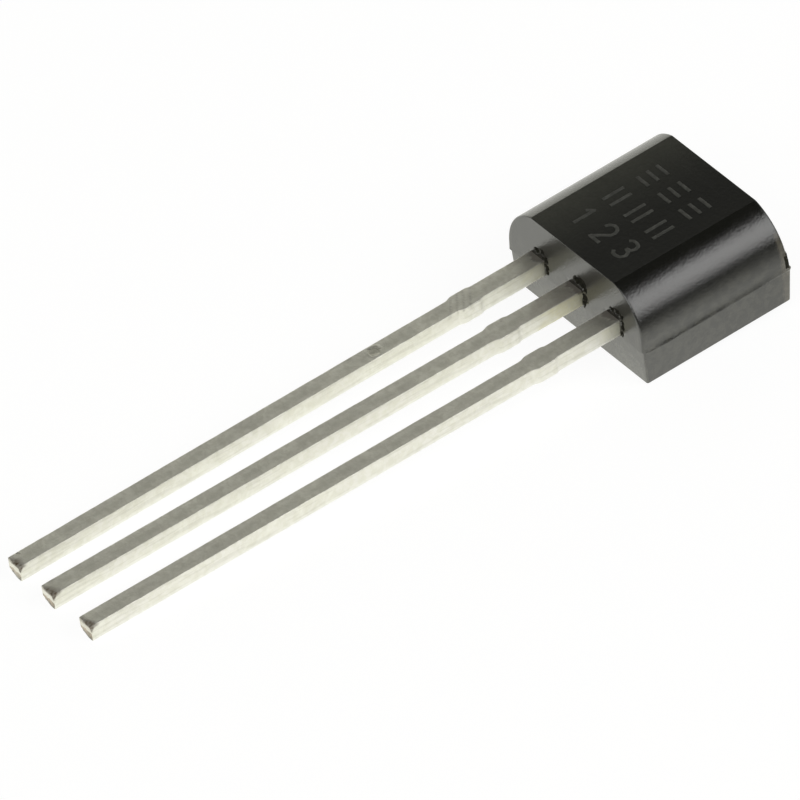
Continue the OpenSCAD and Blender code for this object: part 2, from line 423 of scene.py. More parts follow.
# %% Dust: a few pale specks
given, made = start_effect("dust_specks", {"Specks per mm": 4.0, "Speck Size": 0.08}, ["Mask"])
cells = signals(add_node("ShaderNodeTexVoronoi", {"Vector": given["Where"], "Scale": given["Specks per mm"]}))
speck = map_range(cells["Distance"], given["Speck Size"], given["Speck Size"] * 0.5)
rare = signal("ShaderNodeSeparateColor", {0: cells["Color"]}, "Red")
fill(made, {"Mask": speck * maths("GREATER_THAN", rare, 0.72)})

# %% Round spot: a mask with a soft edge round one place, and a shallow dent with a raised rim
given, made = start_effect("round_spot", {"Centre": VECTOR, "Radius": 0.1}, ["Mask", "Height"])
away = signal("ShaderNodeVectorMath", {0: given["Where"], 1: given["Centre"]}, "Value", operation="DISTANCE")
ragged = cloud_noise(given["Where"], 9.0, 2.0)
share = away / given["Radius"] + maths("MULTIPLY_ADD", ragged, 0.8, -0.4)
raised = fade(share, 0.7, 0.95) * fade(share, 1.25, 0.95)
fill(made, {"Mask": fade(share, 1.05, 0.65), "Height": raised - fade(share, 0.75, 0.45)})
print("shared effects:", [group.name for group in bpy.data.node_groups])

# %% Helpers for finishes
def new_finish(name, shader_values):
    """A material in hand, its main shader, and the place on a piece in millimetres with the case level."""
    material = bpy.data.materials.new(name)
    start_tree(material)
    shader = add_node("ShaderNodeBsdfPrincipled", shader_values)
    add_node("ShaderNodeOutputMaterial", {"Surface": Signal(shader.outputs[0])})
    place = signal("ShaderNodeTexCoord", key="Object")
    moved = signal("ShaderNodeMapping", {"Vector": place, "Location": -case_origin})
    turned = {"Vector": moved, "Rotation": (-rest_tilt, 0, 0), "Scale": (1 / METRES, 1 / METRES, 1 / METRES)}
    return material, shader, signal("ShaderNodeMapping", turned)


def effect(place, name, *values):
    """Places a shared effect, with its values in the order of the group's inputs."""
    inputs = dict(enumerate((place, *values)))
    return signals(add_node("ShaderNodeGroup", inputs, node_tree=bpy.data.node_groups[name]))


def cover(shader, tone, roughness, height=None, strength=0.6, micrometres=5):
    """Fills the main shader. The height, if there is one, dents the light as deep as the micrometres say."""
    fill(shader, {"Base Color": tone, "Roughness": roughness})
    if height:
        bump = {"Strength": strength, "Distance": micrometres * 0.000001, "Height": height}
        fill(shader, {"Normal": signal("ShaderNodeBump", bump)})


# %% [markdown]
# ## Black moulding compound
#
# The case is transfer moulded from epoxy that is full of fine silica and a little carbon black. The polished
# mould leaves the shoulders, sides and ends glossy, with a faint swell and hairline marks. The marked face is
# left matt, so that the laser shows on it. One plain black would look like plastic foil, so each finish is
# black with grain, and the matt one has a coarser grain and hardly any shine.

# %% Glossy epoxy
glossy_epoxy, shader, where = new_finish("glossy_epoxy", {"IOR": 1.95})
x, y, z = split(where)
patches = effect(where, "soft_patches", 1.3, 0.25)["Mask"]
scratches = effect(where, "thin_scratches", 9.0, 0.15)["Mask"]
dust = effect(where, "dust_specks", 3.0, 0.045)["Mask"]
cloudy = effect(where, "soft_patches", 5.5, 0.10)["Mask"]
on_walls = cloudy * fade(z, 1.7, 1.2)
# A paler brownish tone at the far right corner: wear, with a painted sheen on its rounded edge.
far_corner_wear_and_sheen = fade(y, 3.64, 3.74) * fade(x, 2.0, 2.1) * maths("MULTIPLY_ADD", cloudy, 0.3, 0.6)
# The foot of the lead end wall is painted paler: a dusty mottle, with a painted reflection of the floor in
# it.
low_end_dust_and_reflection = fade(y, 0.11, 0.07) * fade(z, 1.00, 0.0) * maths("MULTIPLY_ADD", cloudy, 0.3, 0.7)
tone = layered(
    blend(patches, (0.0075, 0.0078, 0.0060), (0.0100, 0.0102, 0.0080)),
    (on_walls, (0.039, 0.038, 0.030)),
    (far_corner_wear_and_sheen, (0.130, 0.116, 0.088)),
    (low_end_dust_and_reflection, (0.150, 0.150, 0.132)),
    (dust * 0.25, (0.16, 0.155, 0.13)),
)
gloss = blend(scratches, blend(patches, 0.18, 0.215), 0.26)
cover(shader, tone, gloss, effect(where, "fine_grain", 20.0, 0.8)["Height"], micrometres=9)

# %% Matt epoxy of the marked face
matt_epoxy, shader, where = new_finish("matt_epoxy", {"IOR": 1.38})
x = signal("ShaderNodeSeparateXYZ", {0: where}, "X")
grain = effect(where, "fine_grain", 13.0, 0.6)
patches = effect(where, "soft_patches", 1.1, 0.3)["Mask"]
scratches = effect(where, "thin_scratches", 7.0, 0.25)["Mask"]
dust = effect(where, "dust_specks", 4.0, 0.045)["Mask"]
# Painted light: the marked face gets paler towards -X, a light gradient painted into its tone.
wear_and_painted_light = maths("POWER", fade(x, 0.9, -2.2), 1.6)
tone = layered(
    blend(grain["Mask"], (0.0002, 0.0003, 0.0001), (0.0022, 0.0025, 0.0014)),
    (wear_and_painted_light, blend(grain["Mask"], (0.040, 0.041, 0.031), (0.082, 0.083, 0.067))),
    (patches * 0.25, (0.010, 0.0105, 0.0080)),
    (dust * 0.25, (0.14, 0.135, 0.12)),
)
cover(shader, tone, blend(scratches, blend(patches, 0.46, 0.56), 0.40), grain["Height"], micrometres=10)

# %% Torn epoxy, where resin broke away
torn_epoxy, shader, where = new_finish("torn_epoxy", {"IOR": 1.30})
patches = effect(where, "soft_patches", 12.0, 0.2)["Mask"]
tone = blend(patches, (0.0110, 0.0105, 0.0065), (0.0300, 0.0285, 0.0195))
grain = effect(where, "fine_grain", 30.0, 0.6)["Height"]
cover(shader, tone, blend(patches, 0.70, 0.85), grain, strength=0.8, micrometres=10)

# %% [markdown]
# ## Tin plate
#
# The leads are copper strip, stamped, and plated with a few micrometres of matt tin. The plate is a warm pale
# grey with cloudy patches, drawing lines along each lead, and scratches across it where tools held it. Near
# the case it has a thin stain of resin, with painted shade over it where the lead meets the case. At the cut
# tip the plate is smeared over the upper half and the copper shows below, and the cut's upper corner is
# darkened by stain and painted shade. The lower edge of each lead is painted paler, a painted reflection of
# the white floor. These follow the lead and not the room, so each lead carries its own measure: how far
# along, across and up a point is, and how much of the cut it shows.

# %% The tin's patterns
tinned_copper, shader, where = new_finish("tinned_copper", {})
lead_place = signal("ShaderNodeAttribute", key="Vector", attribute_name="lead_place")
along, across, rise = split(lead_place)
MEASURES = ("bare_copper", "resin_stain", "resin_bloom", "tool_mark")
measured = [signal("ShaderNodeAttribute", key="Fac", attribute_name=name) for name in MEASURES]
copper, stain, bloom, tool = measured
clouds = effect(where, "soft_patches", 2.2, 0.16)["Mask"]
wide_clouds = effect(where, "soft_patches", 0.55, 0.2)["Mask"]
mottle = effect(where, "soft_patches", 7.0, 0.14)["Mask"]
grain = effect(where, "fine_grain", 18.0, 1.2)["Height"]
drawing = effect(lead_place, "thin_scratches", 16.0, 0.42)["Mask"]
dent = effect(where, "round_spot", (-1.28, -4.25, 1.33), 0.17)
pit = effect(where, "round_spot", (-1.42, -13.33, 1.33), 0.06)
on_top = fade(rise, 0.37, 0.41)
# A darker band along each lead's top, a little to the +X side of its middle.
top_dark_band = on_top * fade(across, -0.09, 0.0) * fade(across, 0.16, 0.07)
top_dark_band = top_dark_band * maths("MULTIPLY_ADD", clouds, 0.20, 0.10)

# %% The tin's tone, from the plate up to the stains, the painted shade and the bare copper
bloom_tone = blend(on_top, (0.80, 0.76, 0.52), (0.66, 0.615, 0.56))
# Stain and painted shade: darker beside the case and at the cut's upper corner, brownish near the tip.
stain_tone = blend(mottle, (0.085, 0.072, 0.058), (0.14, 0.118, 0.098))
stain_tone = blend(fade(along, -12.9, -13.2), stain_tone, (0.115, 0.080, 0.045))
tone = layered(
    blend(clouds, (0.83, 0.825, 0.755), (0.91, 0.91, 0.84)),
    (wide_clouds * 0.6, (0.87, 0.855, 0.835)),
    (mottle * 0.6, (0.82, 0.815, 0.735)),
    (drawing * 0.25, (0.62, 0.61, 0.55)),
    # Painted reflection: the lower edge of each lead is painted paler, as if it reflected the white floor.
    (fade(rise, 0.10, 0.0) * 0.6, (0.97, 0.97, 0.95)),
    (on_top * 0.95, (1.0, 0.99, 0.915)),
    (mottle * 0.32 * on_top, (0.60, 0.585, 0.50)),
    (clouds * 0.32 * on_top, (0.66, 0.65, 0.60)),
    (wide_clouds * 0.28 * on_top, (0.70, 0.68, 0.64)),
    (top_dark_band, (0.62, 0.615, 0.53)),
    (bloom, bloom_tone),
    # Painted shade: the dent and the pit are darkened in colour on top of what their bump shades.
    (maths("MAXIMUM", dent["Mask"], pit["Mask"]) * 0.55, (0.50, 0.49, 0.42)),
    (tool, (0.97, 0.96, 0.90)),
    (stain, stain_tone),
    (copper, blend(mottle, (0.34, 0.305, 0.24), (0.60, 0.52, 0.44))),
)
plate_roughness = blend(mottle, blend(clouds, 0.48, 0.56), 0.62)
dents = maths("MULTIPLY_ADD", dent["Height"] + pit["Height"], 1.6, grain - drawing * 0.3)
cover(shader, tone, blend(tool, plate_roughness, 0.30), dents, micrometres=7)
fill(shader, {"Metallic": blend(stain * 0.9, 1.0, 0.0)})

# %% [markdown]
# ## Finishes inside the case, and the marking
#
# The pieces inside can't be seen in the finished part, but the model holds them, so they get the finish that
# they have on a part that was cut open: dull solder, dark polished silicon with pale aluminium pads, and gold
# wire. Each of them runs between two tones and between two roughnesses. So one function makes all four, in
# place of four materials that are written out. The laser's grey has a third tone, where the resin is burnt.

# %% A finish between two tones and two roughnesses
def plain_finish(name, shader_values, pattern, tones, roughnesses, rough_pattern=None, grain=None, **bump):
    """One effect's mask mixes the tones. The same mask or another effect's mixes the roughnesses."""
    material, shader, where = new_finish(name, shader_values)
    mask = effect(where, *pattern)["Mask"]
    rough_mask = effect(where, *rough_pattern)["Mask"] if rough_pattern else mask
    height = effect(where, "fine_grain", *grain)["Height"] if grain else None
    cover(shader, blend(mask, *tones), blend(rough_mask, *roughnesses), height, **bump)
    return material


# %% Solder, silicon, bond pads and gold wire
dull_solder = plain_finish(
    "dull_solder", {"Metallic": 1.0}, ("soft_patches", 9.0, 0.08),
    [(0.50, 0.50, 0.52), (0.64, 0.64, 0.65)], [0.32, 0.48], grain=(40.0, 1.0), strength=0.5, micrometres=4,
)
polished_silicon = plain_finish(
    "polished_silicon", {"Metallic": 0.6, "Coat Weight": 0.4}, ("soft_patches", 3.0, 0.3),
    [(0.13, 0.15, 0.21), (0.20, 0.19, 0.27)], [0.12, 0.40], ("thin_scratches", 60.0, 0.5),
)
aluminium_pad = plain_finish(
    "aluminium_pad", {"Metallic": 1.0}, ("fine_grain", 70.0, 0.5),
    [(0.74, 0.75, 0.76), (0.88, 0.88, 0.88)], [0.22, 0.36],
)
drawn_gold = plain_finish(
    "drawn_gold", {"Metallic": 1.0}, ("soft_patches", 6.0, 0.3),
    [(0.92, 0.66, 0.27), (0.98, 0.76, 0.38)], [0.16, 0.30], ("thin_scratches", 90.0, 0.4),
)

# %% Laser marking
laser_grey, shader, where = new_finish("laser_grey", {"IOR": 1.5})
grain = effect(where, "fine_grain", 24.0, 0.4)
burnt = effect(where, "soft_patches", 7.0, 0.2)["Mask"]
stroke_tone = blend(grain["Mask"], (0.056, 0.057, 0.050), (0.104, 0.105, 0.096))
tone = blend(burnt, stroke_tone, (0.050, 0.051, 0.045))
cover(shader, tone, blend(burnt, 0.62, 0.74), grain["Height"])
print("finishes:", [material.name for material in bpy.data.materials if material.users])

# %% [markdown]
# ## Mesh helpers
#
# Pieces are drawn, joined and cut in the level frame, in millimetres, where heights that should meet are
# exactly equal. Only then are they laid down, in metres.

# %% Evaluate, join and cut meshes
def apply_modifiers(drawn):
    """Turns what an object's modifiers show into its plain mesh, and removes the modifiers."""
    depsgraph = bpy.context.evaluated_depsgraph_get()
    mesh = bpy.data.meshes.new_from_object(drawn.evaluated_get(depsgraph))
    drawn.modifiers.clear()
    drawn.data = mesh
    return drawn


def combine(drawn, others, operation):
    """Joins other solids to this one (UNION) or cuts them out of it (DIFFERENCE)."""
    for other in others:
        step = drawn.modifiers.new("combine", "BOOLEAN")
        step.operation = operation
        step.solver = "MANIFOLD"
        step.object = other
        apply_modifiers(drawn)
    return drawn


# %% Run a Geometry Nodes tree
def from_nodes(name, group, base_mesh, values):
    """Runs a Geometry Nodes tree on a base mesh, with its inputs set by name."""
    drawn = add_object(name, base_mesh)
    step = drawn.modifiers.new(name, "NODES")
    step.node_group = group
    sockets = group.interface.items_tree
    identifiers = {socket.name: socket.identifier for socket in sockets if socket.in_out == "INPUT"}
    for label, value in values.items():
        step[identifiers[label]] = value
    return apply_modifiers(drawn)


def count(drawn):
    drawn.data.calc_loop_triangles()
    return f"{len(drawn.data.loop_triangles)} triangles"


# %% Helpers for Geometry Nodes trees
def start_geometry(name, inputs):
    return start_group(name, inputs, ["Geometry"], "GeometryNodeTree", GEOMETRY)


def end_geometry(made, geometry, finish):
    """The last steps of each tree: smooth shading, real geometry and the finish."""
    smooth = signal("GeometryNodeSetShadeSmooth", {"Geometry": geometry})
    realized = signal("GeometryNodeRealizeInstances", {"Geometry": smooth})
    fill(made, {"Geometry": signal("GeometryNodeSetMaterial", {"Geometry": realized, "Material": finish})})


def ragged_shift(place, scale, seed, directions, amount, **more):
    """A shift to both sides along some directions, from a noise."""
    shift = cloud_noise(place, scale, 3.0, "Color", "4D", W=seed, **more)
    shift = vector_maths("SUBTRACT", shift, (0.5, 0.5, 0.5))
    return vector_maths("SCALE", vector_maths("MULTIPLY", shift, directions), amount)


# %% [markdown]
# ## The leads outside the case
#
# A lead is a square bar of plated strip. Its edges are rounded by stamping and plating, its dam bar leaves a
# low stub on each side, it leans a little to one side, and it is never quite straight. The three leads follow
# the same rule with other numbers, so one Geometry Nodes tree makes them all. It starts from a finely divided
# box and moves each point: first onto a rounded bar, then out at the stub, then to the side.

# %% Geometry Nodes tree for a lead
lead_width = 0.41
root_width = 0.45
lead_thickness = 0.41
lead_length = 13.55
parting_height = 0.92
ACROSS = 21
TIP_RINGS = 20
SHANK_RINGS = 90
NEAR_RINGS = 100
ALONG = TIP_RINGS + SHANK_RINGS + NEAR_RINGS + 1
TIP_REACH = 0.24
NEAR_REACH = 2.4

given, made = start_geometry("lead_bar", {
    "Length": lead_length, "Root": 0.6, "Width": lead_width, "Root Width": root_width,
    "Thickness": lead_thickness, "Edge Radius": 0.018, "Underside": parting_height, "Centre Line": 0.0,
    "Tip Shift": 0.0, "Dam Bar Distance": 1.5, "Dam Bar Width": 0.75, "Dam Bar Stub": 0.055,
    "Dam Bar Slope": 0.20, "Unevenness": 0.014, "Seed": 0.0, "Finish": MATERIAL,
})
lead_tree = tree
divisions = {"Vertices X": ACROSS, "Vertices Y": ALONG, "Vertices Z": ACROSS}
box = signal("GeometryNodeMeshCube", {"Size": (2, 1, 2), **divisions}, "Mesh")
box_x, box_y, box_z = split(signal("GeometryNodeInputPosition"))

# %% Rings along the lead: close together at the tip and near the case, and further apart between
ring = (box_y + 0.5) * (ALONG - 1)


def rings_within(first, number):
    """How many rings of one stretch of the lead lie before this ring."""
    return maths("MINIMUM", maths("MAXIMUM", ring - first, 0), number)


tip_part = rings_within(0, TIP_RINGS) * (TIP_REACH / TIP_RINGS)
shank_step = (given["Length"] - (TIP_REACH + NEAR_REACH)) / SHANK_RINGS
shank_part = rings_within(TIP_RINGS, SHANK_RINGS) * shank_step
near_step = (given["Root"] + NEAR_REACH) / NEAR_RINGS
near_part = rings_within(TIP_RINGS + SHANK_RINGS, NEAR_RINGS) * near_step
along = tip_part + shank_part + near_part - given["Length"]

# %% Round the edges: a point near an edge is pushed out from the edge's centre
FLAT_SHARE = 0.7
EDGE_TURN = math.pi / 4 / (1 - FLAT_SHARE)


def spread_to_edge(share, half):
    """Spaces points evenly over the flat part, and by equal angles over the rounded edge."""
    size = maths("ABSOLUTE", share)
    core = half - given["Edge Radius"]
    flat = maths("MINIMUM", size / FLAT_SHARE, 1) * core
    rounded = maths("TANGENT", maths("MAXIMUM", size - FLAT_SHARE, 0) * EDGE_TURN) * given["Edge Radius"]
    return maths("SIGN", share) * (flat + rounded), core


def hold_within(value, limit):
    return maths("MAXIMUM", maths("MINIMUM", value, limit), limit * -1)


half_width = given["Width"] * 0.5
half_thickness = given["Thickness"] * 0.5
side, side_core = spread_to_edge(box_x, half_width)
rise, rise_core = spread_to_edge(box_z, half_thickness)
tip_core = given["Edge Radius"] - given["Length"]
point = vector_of(side, along, rise)
core_y = maths("MAXIMUM", along, tip_core)
core = vector_of(hold_within(side, side_core), core_y, hold_within(rise, rise_core))
outward = vector_maths("NORMALIZE", vector_maths("SUBTRACT", point, core))
rounded = vector_maths("ADD", core, vector_maths("SCALE", outward, given["Edge Radius"]))
round_x, round_y, round_z = split(rounded)

# %% Widen the bar at the dam bar, lean it over and make it uneven
out_of_case = maths("MAXIMUM", round_y * -1, 0)
stub_start = out_of_case - given["Dam Bar Distance"]
stub_end = given["Dam Bar Width"] - stub_start
stub = fade(maths("MINIMUM", stub_start, stub_end) / given["Dam Bar Slope"], 0.0, 1.0) * given["Dam Bar Stub"]
root_share = fade(stub_start / given["Dam Bar Width"], 0.7, 0.3)
root = root_share * (given["Root Width"] * 0.5 - half_width)
wide = round_x * (maths("MAXIMUM", stub, root) / half_width + 1)
lean = out_of_case / given["Length"] * given["Tip Shift"]
height = round_z + half_thickness + given["Underside"]
smooth_place = vector_of(wide + lean + given["Centre Line"], round_y, height)
ripple = ragged_shift(smooth_place, 1.6, given["Seed"], (1, 0, 1), given["Unevenness"], Roughness=0.55)
shaped = signal("GeometryNodeSetPosition", {"Geometry": box, "Position": smooth_place, "Offset": ripple})
end_geometry(made, shaped, given["Finish"])

# %% Make the three bars
lead_pitch = 1.27
frame_top = parting_height + lead_thickness
lead_x = {"collector": -lead_pitch, "base": 0.0, "emitter": lead_pitch}
tip_shift = {"collector": -0.02, "base": -0.14, "emitter": -0.12}
bars = {}
for number, name in enumerate(lead_x):
    bars[name] = from_nodes(f"{name}_bar", lead_tree, bpy.data.meshes.new(f"{name}_base"), {
        "Centre Line": lead_x[name], "Tip Shift": tip_shift[name],
        "Seed": 3.0 + 7.0 * number, "Finish": tinned_copper,
    })
    print(f"{name} bar: {count(bars[name])}")

# %% [markdown]
# ## The sheared tips
#
# A punch cuts the leads off from above. The cut has three zones: the upper edge is rolled over, the band
# below it is burnished bright with smeared tin, and the lowest part tears, so that it is rough, sunk and
# shows the copper. The punch was a little out of square, so the roll is deeper on one side and the tear on
# the other. A flat square end would miss all of this, so the points near each end are moved zone by zone.

# %% Where a tip is torn
tear_line = {"collector": 0.46, "base": 0.44, "emitter": 0.48}
seeds = {name: 1.7 + 2.3 * number for number, name in enumerate(lead_x)}
BURR = 0.07


def ragged_at(x, y, z):
    """A random number round 0 that changes smoothly from place to place."""
    return noise.noise(Vector((x, y, z)))


def smooth_step(low, high, value):
    share = min(max((value - low) / (high - low), 0.0), 1.0)
    return share * share * (3 - 2 * share)


def torn_share(name, across, rise):
    """1 on a tip's torn part and 0 above its ragged line. Places are shares of the lead's size."""
    ragged = ragged_at(across * 4 + seeds[name], rise * 2, seeds[name])
    line = tear_line[name] - 0.06 * across + 0.10 * ragged
    return smooth_step(line + 0.05, line - 0.05, rise) * smooth_step(BURR * 0.4, BURR, rise)


# %% Roll the upper edge of each tip over, and tear its lower part
roll_depth = {"collector": 0.030, "base": 0.026, "emitter": 0.034}
ROLL_REACH = 0.12
ROLL_INWARD = 0.014
TEAR_REACH = 0.20
TEAR_DEPTH = 0.028
TEAR_ROUGHNESS = 0.014
CORNER_TEAR = 0.045


def shear_tip(bar, name):
    """Moves the points near a lead's end as the punch does."""
    for vertex in bar.data.vertices:
        place = vertex.co
        from_end = place.y + lead_length
        if from_end > TEAR_REACH:
            continue
        rise = (place.z - parting_height) / lead_thickness
        across = (place.x - (lead_x[name] + tip_shift[name])) / lead_width
        rough = ragged_at(place.x * 16 + seeds[name], 0, place.z * 16)
        inside = smooth_step(0.5, 0.44, abs(across)) * smooth_step(0.02, 0.0, from_end)
        place.y += torn_share(name, across, rise) * inside * (TEAR_DEPTH + TEAR_ROUGHNESS * rough)
        corner = smooth_step(0.3, -0.5, across) * smooth_step(0.4, 0.0, rise)
        place.y += corner * CORNER_TEAR * smooth_step(TEAR_REACH, 0.0, from_end)
        near_end = max(1 - from_end / ROLL_REACH, 0) ** 2
        lean = smooth_step(-0.9, 0.5, across)
        place.z -= roll_depth[name] * lean * near_end * smooth_step(0.45, 1.0, rise)
        place.x -= ROLL_INWARD * near_end * smooth_step(0.0, 0.5, across) * smooth_step(0.5, 0.95, rise)


for name, bar in bars.items():
    shear_tip(bar, name)

# %% [markdown]
# ## The stamped frame inside the case
#
# Inside the case each lead widens to a shape of its own: the collector's paddle carries the chip, and the two
# posts end in heads for the wires. These are one piece with the leads. They are drawn as flat outlines,
# raised to the strip's thickness, and joined to the bars. Locking ears and notches stop the leads from
# pulling out.

# %% Sizes of the inner pieces
ear_depth = 0.35
ear_length = 0.22
ear_height = 0.1
base_post_depth = 1.34
base_head_width = 0.8
base_head_length = 0.42
frame_gap = 0.32
frame_overhang = 0.15
paddle_width = 1.95
paddle_length = 1.6
notch_radius = 0.13
emitter_head_length = 0.85
join_depth = 0.2
NOTCH_STEPS = 10
INNER_ROUNDING = 0.012
paddle_x = lead_x["collector"] - root_width / 2 - frame_overhang
paddle_y = base_post_depth + frame_gap
paddle_end = paddle_y + paddle_length
base_head_y = base_post_depth - base_head_length
emitter_head_x = paddle_x + paddle_width + frame_gap
emitter_head_side = lead_x["emitter"] + root_width / 2 + frame_overhang
emitter_head_end = paddle_y + emitter_head_length


# %% One side of an inner piece, and the whole piece
def inner_side(name, side, head_x, head_y, head_end):
    """The outline's points on one side, from the foot past the locking ear to the end of the head."""
    foot = lead_x[name] + side * root_width / 2
    crest = foot + side * ear_height
    ear_end = ear_depth + ear_length
    points = [(foot, join_depth), (foot, ear_depth), (crest, ear_depth), (crest, ear_end), (foot, ear_end)]
    points += [(foot, head_y), (head_x, head_y)]
    if name == "collector":
        middle = head_end - 2 * notch_radius
        for step in range(NOTCH_STEPS + 1):
            turn = math.pi * step / NOTCH_STEPS
            inward = side * notch_radius * math.sin(turn)
            points.append((head_x - inward, middle - notch_radius * math.cos(turn)))
    return points + [(head_x, head_end)]


def stamped_solid(name, outline):
    """A flat piece stamped from the strip along an outline, with its edges rounded a little."""
    mesh = bpy.data.meshes.new(name)
    shape = bmesh.new()
    face = shape.faces.new([shape.verts.new((x, y, parting_height)) for x, y in outline])
    face.normal_update()
    if face.normal.z > 0:
        face.normal_flip()
    risen = bmesh.ops.extrude_face_region(shape, geom=[face])["geom"]
    upper = [part for part in risen if isinstance(part, bmesh.types.BMVert)]
    bmesh.ops.translate(shape, vec=(0, 0, frame_top - parting_height), verts=upper)
    bmesh.ops.recalc_face_normals(shape, faces=shape.faces)
    sharp = [edge for edge in shape.edges if edge.calc_face_angle(0) > math.radians(40)]
    bmesh.ops.bevel(shape, geom=sharp, offset=INNER_ROUNDING, segments=2, profile=0.5, affect="EDGES")
    bmesh.ops.triangulate(shape, faces=[face for face in shape.faces if len(face.verts) > 4])
    shape.to_mesh(mesh)
    shape.free()
    mesh.materials.append(tinned_copper)
    return add_object(name, mesh)


# %% Join the inner pieces to the bars
heads = {
    "collector": [(x, paddle_y, paddle_end) for x in (paddle_x + paddle_width, paddle_x)],
    "base": [(side * base_head_width / 2, base_head_y, base_post_depth) for side in (1, -1)],
    "emitter": [(x, paddle_y, emitter_head_end) for x in (emitter_head_side, emitter_head_x)],
}
leads = {}
for name, (right_head, left_head) in heads.items():
    outline = inner_side(name, 1, *right_head) + inner_side(name, -1, *left_head)[::-1]
    inner = stamped_solid(f"{name}_inner", outline)
    leads[name] = combine(bars[name], [inner], "UNION")
    leads[name].name = f"plated_{name}_lead"
    bpy.data.objects.remove(inner)
    print(f"{leads[name].name}: {count(leads[name])}")

# %% [markdown]
# ## What the plating's finish follows
#
# The tin's drawing lines, the resin stain and painted shade beside the case, the tool marks and the bare
# copper belong to places on a lead. Each lead stores them on its points, measured from its own centre line:
# the finish reads them from there.

# %% Resin stain, painted shade and copper at a place on a lead
copper_share = {"collector": 0.75, "base": 1.00, "emitter": 0.95}
smear_share = {"collector": 0.05, "base": 0.10, "emitter": 0.22}
bloom_end = {"collector": 0.9, "base": 1.35, "emitter": 0.7}
bloom_share = {"collector": 0.30, "base": 0.60, "emitter": 0.30}
STROKE_SLANT = -0.7
DARK_STROKES = [(1.74, 0.025), (1.92, 0.022), (2.08, 0.022), (2.26, 0.020), (4.12, 0.020)]
LIGHT_STROKES = [(1.84, 0.030), (2.00, 0.030), (2.17, 0.025), (4.06, 0.025), (4.42, 0.022)]


def resin_stain(out, across_share, on_top, cloud, fine):
    """How dark the resin's stain and the painted shade over it are beside the case."""
    reach = 0.07 + 0.10 * (1 - (2 * across_share) ** 2) + 0.10 * cloud + 0.05 * fine
    return smooth_step(reach, reach - 0.06, out) * (0.08 + 0.70 * on_top)


def tip_stain_and_painted_shade(from_end, across_share, rise, cloud, fine):
    """How dark the stain and the painted shade of the rolled edge are at the cut end's upper corner."""
    reach = 0.10 + 0.16 * smooth_step(-0.5, 0.5, across_share) + 0.12 * cloud
    foot = 0.31 - 0.09 * smooth_step(0.35, 0.5, across_share) * smooth_step(0.09, 0.0, from_end)
    shade = smooth_step(reach, 0.02, from_end) * smooth_step(foot, foot + 0.06, rise)
    return 0.85 * (shade * smooth_step(-0.7, 0.1, across_share)) * (1 + 0.6 * fine)


def stroke_share(strokes, out, across):
    """1 on a tool's strokes across the lead, which are given as (place, width)."""
    aways = [(abs(out + across * STROKE_SLANT - place), width) for place, width in strokes]
    return max(smooth_step(width, width * 0.3, away) for away, width in aways)


# %% All measures at one point of a lead
def measure_point(name, place):
    """The masks at one point of a lead."""
    out = max(-place.y, 0.0)
    from_end = lead_length - out
    across = place.x - lead_x[name] - tip_shift[name] * out / lead_length
    across_share = across / lead_width
    rise = place.z - parting_height
    on_top = smooth_step(0.30, 0.38, rise)
    cloud = ragged_at(across * 6 + seeds[name], place.y * 3, rise * 6)
    fine = ragged_at(across * 22 + seeds[name], place.y * 14, rise * 22)
    on_end = smooth_step(0.5, 0.47, abs(across_share)) if from_end < TEAR_REACH / 2 else 0.0
    torn = torn_share(name, across_share, rise / lead_thickness)
    wear_and_painted_light = on_top if name == "collector" else 0.0
    # The first two hold painted shade as well as stain: beside the case, and at the cut's upper corner.
    stains = [
        resin_stain(out, across_share, on_top, cloud, fine),
        tip_stain_and_painted_shade(from_end, across_share, rise, cloud, fine),
        wear_and_painted_light * stroke_share(DARK_STROKES, out, across) * (0.24 + 0.3 * fine),
    ]
    bloom_reach = bloom_end[name] + 0.5 * cloud
    bloom = bloom_share[name] * smooth_step(bloom_reach, bloom_reach - 0.7, out)
    return {
        "place": (place.y, across, rise),
        "bare_copper": on_end * copper_share[name] * (smear_share[name] + (1 - smear_share[name]) * torn),
        "resin_stain": max(stains),
        "resin_bloom": bloom * (0.8 + 0.4 * fine),
        "tool_mark": wear_and_painted_light * stroke_share(LIGHT_STROKES, out, across) * (0.35 + 0.4 * cloud),
    }


# %% Store each lead's measures on its points
for name, lead in leads.items():
    points = [measure_point(name, vertex.co) for vertex in lead.data.vertices]
    layer = lead.data.attributes.new("lead_place", "FLOAT_VECTOR", "POINT")
    layer.data.foreach_set("vector", [number for point in points for number in point["place"]])
    for label in MEASURES:
        layer = lead.data.attributes.new(label, "FLOAT", "POINT")
        layer.data.foreach_set("value", [point[label] for point in points])
        print(f"{name}: {sum(point[label] > 0.3 for point in points)} points of {label}")

# %% [markdown]
# ## Chip, solder and bond wires
#
# The chip is a sawn square of silicon with chipped, nearly sharp edges and two raised aluminium pads. The
# solder under it creeps out and leaves a low fillet all round. Each wire starts as a ball on a pad, rises,
# bends over and runs down to a flattened end on its post. It is a path with a round section, so a Geometry
# Nodes tree makes both.

# %% Solids from stacked outlines
def stack_rings(name, rings, material):
    """A closed solid from rings of equal length, each a list of (x, y, z), from bottom to top."""
    sides = len(rings[0])
    faces = [list(range(sides - 1, -1, -1)), list(range((len(rings) - 1) * sides, len(rings) * sides))]
    for low in range(0, (len(rings) - 1) * sides, sides):
        for side in range(sides):
            after = (side + 1) % sides
            faces.append((low + side, low + after, low + sides + after, low + sides + side))
    mesh = bpy.data.meshes.new(name)
    mesh.from_pydata([point for ring in rings for point in ring], [], faces)
    mesh.materials.append(material)
    return add_object(name, mesh)


